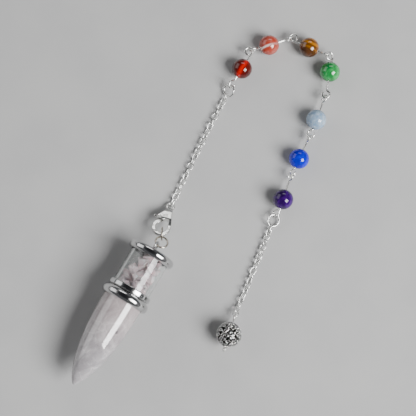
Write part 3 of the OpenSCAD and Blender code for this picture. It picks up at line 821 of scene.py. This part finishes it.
def red_stone(at):
    """Dark red agate, with painted light along its bore: a bright red core in a wider red glow."""
    made, tree, principled, node = stone(
        "red_agate", at, (0.045, 0.003, 0.002), (0.10, 0.008, 0.004), (0.22, 0.03, 0.02), 0.5,
        1.0, 0.4, 0.3, 0.05, Specular_IOR_Level=0.3)
    # Painted light: light passing along the drilled hole, drawn as a wide dark red glow and a
    # bright red core beside the bore
    painted_core_light = placed_group(tree, PAINTED_BORE_LIGHT, local(tree, at), Half_Width=1.0, Offset=-0.25)
    glow = placed_group(tree, PAINTED_BORE_LIGHT, local(tree, at), Half_Width=2.4, Offset=-0.25)
    color = mix(tree, glow.outputs["Mask"], node.outputs["Color"], (0.13, 0.004, 0.002, 1))
    color = mix(tree, painted_core_light.outputs["Mask"], color, (0.50, 0.004, 0.001, 1))
    tree.links.new(color, principled.inputs["Base Color"])
    return made


def cherry_stone(at):
    """Cherry quartz: pink glassy stone with red smoke, and a pale streak of painted light along its
    bore.
    """
    made, tree, principled, node = stone(
        "cherry_quartz", at, (0.36, 0.035, 0.015), (0.50, 0.12, 0.09), (0.13, 0.015, 0.010), 0.42,
        1.0, 0.75, 0.3, 0.05, 0.08, (1.0, 0.3, 0.2))
    # Painted light: a pale streak where light runs along the bore through the glass
    painted_core_light = placed_group(tree, PAINTED_BORE_LIGHT, local(tree, at), Half_Width=0.55, Offset=-0.75)
    # The painted light along the bore fades out towards one end of it
    apart = add(tree, "ShaderNodeSeparateXYZ", sockets={0: local(tree, at)})
    bore_light_fade = ramp(tree, apart.outputs["X"], -2.6, 2.2, 0.95, 0.15)
    share = maths(tree, "MULTIPLY", painted_core_light.outputs["Mask"], bore_light_fade)
    color = mix(tree, share, node.outputs["Color"], (0.92, 0.82, 0.80, 1))
    tree.links.new(color, principled.inputs["Base Color"])
    return made


def tiger_eye_stone(at):
    """Brown and gold bands that run across the bead, as silk does."""
    made, tree, principled, node = stone(
        "tiger_eye", at, (0.05, 0.018, 0.006), (0.09, 0.03, 0.008), (0.2, 0.1, 0.03), 0.5, 1.0,
        0.2, 0.2, 0.06)
    bands = placed_group(tree, BANDS, local(tree, at), Dark=(0.14, 0.045, 0.002, 1),
                         Gold=(0.44, 0.16, 0.004, 1), Width=0.2)
    # The gold lies along one side and fades to brown on the other
    apart = add(tree, "ShaderNodeSeparateXYZ", sockets={0: local(tree, at)})
    share = ramp(tree, apart.outputs["Y"], -2.0, 0.9)
    color = mix(tree, share, node.outputs["Color"], bands.outputs["Color"])
    tree.links.new(color, principled.inputs["Base Color"])
    return made


def green_stone(at):
    return stone("green_aventurine", at, (0.004, 0.17, 0.03), (0.03, 0.38, 0.09),
                 (0.20, 0.55, 0.25), 0.36, 1.0, 0.3, 0.3, 0.06, 0.1, (0.3, 1.0, 0.3))[0]


def pale_blue_stone(at):
    return stone("milky_opalite", at, (0.22, 0.33, 0.47), (0.36, 0.46, 0.57),
                 (0.60, 0.68, 0.76), 0.5, 1.0, 0.35, 0.25, 0.06, 0.2, (0.5, 0.8, 1.2))[0]


def blue_stone(at):
    return stone("deep_blue_stone", at, (0.0, 0.0, 0.36), (0.0, 0.006, 0.78),
                 (0.0, 0.02, 0.80), 0.32, 1.0, 0.25, 0.25, 0.05,
                 Specular_IOR_Level=0.25)[0]


def violet_stone(at):
    return stone("amethyst", at, (0.014, 0.0, 0.05), (0.042, 0.0, 0.14),
                 (0.12, 0.015, 0.28), 0.36, 1.0, 0.3, 0.2, 0.05,
                 Specular_IOR_Level=0.25)[0]


FINISHES = {
    "red": red_stone, "cherry": cherry_stone, "tiger_eye": tiger_eye_stone,
    "green": green_stone, "pale_blue": pale_blue_stone, "blue": blue_stone,
    "violet": violet_stone,
}


# The filigree ball and its pin

BALL_ROWS = [(0, 16), (22, 15), (-22, 15), (43, 12), (-43, 12), (62, 8), (-62, 8)]


def ball_frame():
    """The ball's middle, its radius and the frame with +X along its pin."""
    low, high = (Vector(c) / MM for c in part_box("end_ball"))
    centre = (low + high) / 2
    radius = (high.z - low.z) / 2
    way = lie(points("ball_pin"))[1][0]
    if way.y > 0:
        way = -way
    return centre, radius, way


def curve_piece(bm, strands, wire):
    """Adds round wires along lists of points to a mesh."""
    data = bpy.data.curves.new("strands", "CURVE")
    data.dimensions = "3D"
    data.bevel_depth = wire / 2
    data.bevel_resolution = 2
    data.use_fill_caps = True
    for strand, closed in strands:
        spline = data.splines.new("POLY")
        spline.points.add(len(strand) - 1)
        for point, co in zip(spline.points, strand):
            point.co = (*co, 1)
        spline.use_cyclic_u = closed
    holder = bpy.data.objects.new("strands", data)
    bpy.context.collection.objects.link(holder)
    shape = bpy.data.meshes.new_from_object(
        holder.evaluated_get(bpy.context.evaluated_depsgraph_get()))
    bm.from_mesh(shape)
    bpy.data.objects.remove(holder)
    bpy.data.curves.remove(data)
    bpy.data.meshes.remove(shape)


def on_ball(radius, latitude, longitude):
    up, turn = math.radians(latitude), math.radians(longitude)
    return radius * Vector((math.cos(up) * math.cos(turn), math.cos(up) * math.sin(turn),
                            math.sin(up)))


def scroll(radius, latitude, longitude, size, hand):
    """A wire curled inwards on the ball's surface."""
    turns = 1.05
    steps = 20
    strand = []
    for i in range(steps + 1):
        share = i / steps
        angle = hand * turns * math.tau * share + math.radians(longitude)
        out = math.degrees(size * (1 - 0.72 * share) / radius)
        strand.append(on_ball(
            radius, latitude + out * math.sin(angle),
            longitude + out * math.cos(angle) / math.cos(math.radians(latitude))))
    return strand, False


def roped(radius, latitude, width, twists):
    """Two strands laid round the ball as a rope."""
    steps = twists * 8
    ropes = []
    for half in (0, math.pi):
        strand = []
        for i in range(steps):
            lay = math.tau * twists * i / steps + half
            strand.append(on_ball(radius + width / 2 * math.cos(lay),
                                  latitude + math.degrees(width / 2 * math.sin(lay) / radius),
                                  360 * i / steps))
        ropes.append((strand, True))
    return ropes


def filigree_silver_painted_shade(at, skin):
    """Silver with painted shade: black in its hollows and on the wall below the wires, bright
    silver on the wire tops.
    """
    made, tree, principled = material("filigree_silver_with_painted_shade", Metallic=1.0)
    vector = local(tree, at)
    node = placed_group(tree, SILVER, vector, Bright=(0.97, 0.97, 0.95, 1),
                        Film=(0.16, 0.15, 0.13, 1), Film_Amount=0.5, Polish=0.12,
                        Scratches=0.2)
    out = add(tree, "ShaderNodeVectorMath", set={"operation": "LENGTH"},
              sockets={0: vector}).outputs["Value"]
    out = maths(tree, "ADD", out, ramp(tree, noise(tree, vector, 2.2, 3), 0.3, 0.7, -0.06, 0.06))
    # Painted shade: black below a ragged depth under the wire tops, silver above it
    clear_of_painted_shade = ramp(tree, out, skin, skin + 0.1)
    color = mix(tree, clear_of_painted_shade, (0.005, 0.0048, 0.0044, 1), node.outputs["Color"])
    tree.links.new(color, principled.inputs["Base Color"])
    rough = maths(tree, "ADD", node.outputs["Roughness"], ramp(tree, clear_of_painted_shade, 0, 1, 0.5, 0.0))
    tree.links.new(rough, principled.inputs["Roughness"])
    bump(tree, principled, node.outputs["Height"], 0.01)
    return made


def make_ball():
    centre, radius, way = ball_frame()
    skin = radius - 0.12
    # A dark wall that the scrolls stand on, open where the pin goes through: a sheet of painted
    # shade for the ball's hollow inside
    painted_shade_wall = arc(0, 0, skin - 0.16, -74, 74, 30)
    bm = turned(painted_shade_wall + arc(0, 0, skin - 0.3, 74, -74, 30) + painted_shade_wall[:1], 72)
    scrolls = []
    for latitude, count in BALL_ROWS:
        size = 0.92 * math.pi * radius * math.cos(math.radians(latitude)) / count
        for i in range(count):
            longitude = 360 / count * (i + latitude / 60)
            scrolls.append(scroll(skin, latitude, longitude, size, 1 if i % 2 else -1))
    curve_piece(bm, scrolls, 0.24)
    ropes = []
    for latitude in (11, -11, 32.5, -32.5, 52.5, -52.5):
        ropes += roped(skin - 0.09, latitude, 0.13, round(36 * math.cos(math.radians(latitude))))
    for latitude in (76, -76):
        ropes += roped(skin, latitude, 0.2, 12)
    curve_piece(bm, ropes, 0.14)
    # Grains between the scrolls
    for latitude, count in BALL_ROWS[:5]:
        for i in range(count):
            longitude = 360 / count * (i + 0.5 + latitude / 60)
            seat = Matrix.Translation(on_ball(skin + 0.02, latitude, longitude))
            bmesh.ops.create_icosphere(bm, subdivisions=1, radius=0.14, matrix=seat)
    at = placed(centre, way, (0, 0, 1))
    make("filigree_ball", bm, at, PENDULUM, filigree_silver_painted_shade(at, skin), ["end_ball"])


def make_ball_pin():
    centre, _, way = ball_frame()
    at = points("ball_pin") - np.array(centre)
    stations = at @ np.array(way)
    near = stations.min() + EYE_R + PIN_WIRE / 2
    far = stations.max() - END_EYE_R - END_EYE_WIRE / 2
    run = eye_run(0)
    place = placed(centre + way * near, way.cross(Vector((0, 0, 1))).cross(way), way)
    bm = bmesh.new()
    stem_at = place @ Matrix.Translation((run, 0, 0))
    draw_wire(bm, eye_steps(0), PIN_WIRE, stem_at @ HALF_TURN @ turn_x(90), 14)
    draw_wire(bm, [(far - near - run - END_EYE_R, 0)], PIN_WIRE, stem_at, 14)
    eye_at = place @ Matrix.Translation((far - near, 0, 0)) @ turn_x(60)
    start = eye_at @ Matrix.Translation((0, -END_EYE_R, 0))
    draw_wire(bm, [(360, END_EYE_R)], END_EYE_WIRE, start, 14, True, 8)
    make("ball_eye_pin", bm, Matrix.Identity(4), PENDULUM, PIN_SILVER, ["ball_pin"])


# Floor, light and camera

def make_floor():
    bm = bmesh.new()
    bmesh.ops.create_grid(bm, x_segments=1, y_segments=1, size=1.5)
    mesh = bpy.data.meshes.new("floor")
    bm.to_mesh(mesh)
    bm.free()
    floor = bpy.data.objects.new("floor", mesh)
    bpy.context.collection.objects.link(floor)
    made, tree, principled = material("pale_paper_floor", Roughness=0.75)
    tone = noise(tree, local(tree, Matrix.Identity(4)), 0.05, 3, 0.5)
    color = mix(tree, ramp(tree, tone, 0.3, 0.7), (0.42, 0.42, 0.42, 1), (0.45, 0.45, 0.445, 1))
    tree.links.new(color, principled.inputs["Base Color"])
    mesh.materials.append(made)


def make_light(name, direction, distance, width, height, energy):
    """A softbox that looks at the middle of the object."""
    lamp = bpy.data.lights.new(name, "AREA")
    lamp.shape = "RECTANGLE"
    lamp.size = width
    lamp.size_y = height
    lamp.energy = energy
    holder = bpy.data.objects.new(name, lamp)
    way = Vector(direction).normalized()
    holder.location = CAMERA_AIM + way * distance
    holder.rotation_euler = (-way).to_track_quat("-Z", "Y").to_euler()
    bpy.context.collection.objects.link(holder)


def make_lights():
    make_light("key_softbox", (0.607, -0.386, 0.69), 1.0, 0.55, 0.55, 21)
    make_light("side_softbox", (-0.86, 0.45, 0.5), 1.1, 1.0, 0.7, 3.6)
    make_light("back_softbox", (0.16, 0.81, 0.57), 1.2, 0.6, 0.3, 1.8)
    # A soft room that is dark overhead, where the camera looks in
    world = bpy.data.worlds.new("soft_room")
    world.use_nodes = True
    tree = world.node_tree
    way = add(tree, "ShaderNodeTexCoord").outputs["Generated"]
    height = add(tree, "ShaderNodeSeparateXYZ", sockets={0: way}).outputs["Z"]
    tone = mix(tree, ramp(tree, height, 0.55, 0.96), (0.13, 0.133, 0.14, 1),
               (0.02, 0.021, 0.024, 1))
    tree.links.new(tone, tree.nodes["Background"].inputs["Color"])
    bpy.context.scene.world = world


def make_camera():
    data = bpy.data.cameras.new("camera")
    data.lens = CAMERA_LENS
    data.sensor_width = 36
    data.clip_start = 0.01
    camera = bpy.data.objects.new("camera", data)
    up = math.radians(CAMERA_UP_DEG)
    back = Vector((0, -math.cos(up), math.sin(up)))
    camera.location = CAMERA_AIM + back * CAMERA_DISTANCE
    camera.rotation_euler = (math.pi / 2 - up, 0, 0)
    bpy.context.collection.objects.link(camera)
    bpy.context.scene.camera = camera


make_camera()
make_lights()
make_floor()

make_stone_point()
make_collar()
make_vial_base()
make_glass_tube()
make_chips()
make_top_cap()

make_ring("cap_jump_ring", "cap_ring", CAP_RING_WIRE, 150, TARNISHED)
make_ring("clasp_jump_ring", "clasp_ring", CAP_RING_WIRE, 20, TARNISHED)
make_ring("string_jump_ring", "string_ring", STRING_RING_WIRE, 200, RING_SILVER)
make_ring("chain_jump_ring", "chain_ring", STRING_RING_WIRE, 80, RING_SILVER)
cast("clasp_casting", "clasp_body", PENDULUM, 0.07, 16)
cast("clasp_thumb_lever", "clasp_lever", LEVER, 0.06, 12)
make_rivet()
make_clasp_link()
make_chain("cable_chain_long", "long_chain")
make_chain("cable_chain_short", "short_chain")

for bead in BEADS:
    make_pin(bead)
    make_bead(bead, FINISHES[bead])

make_ball()
make_ball_pin()
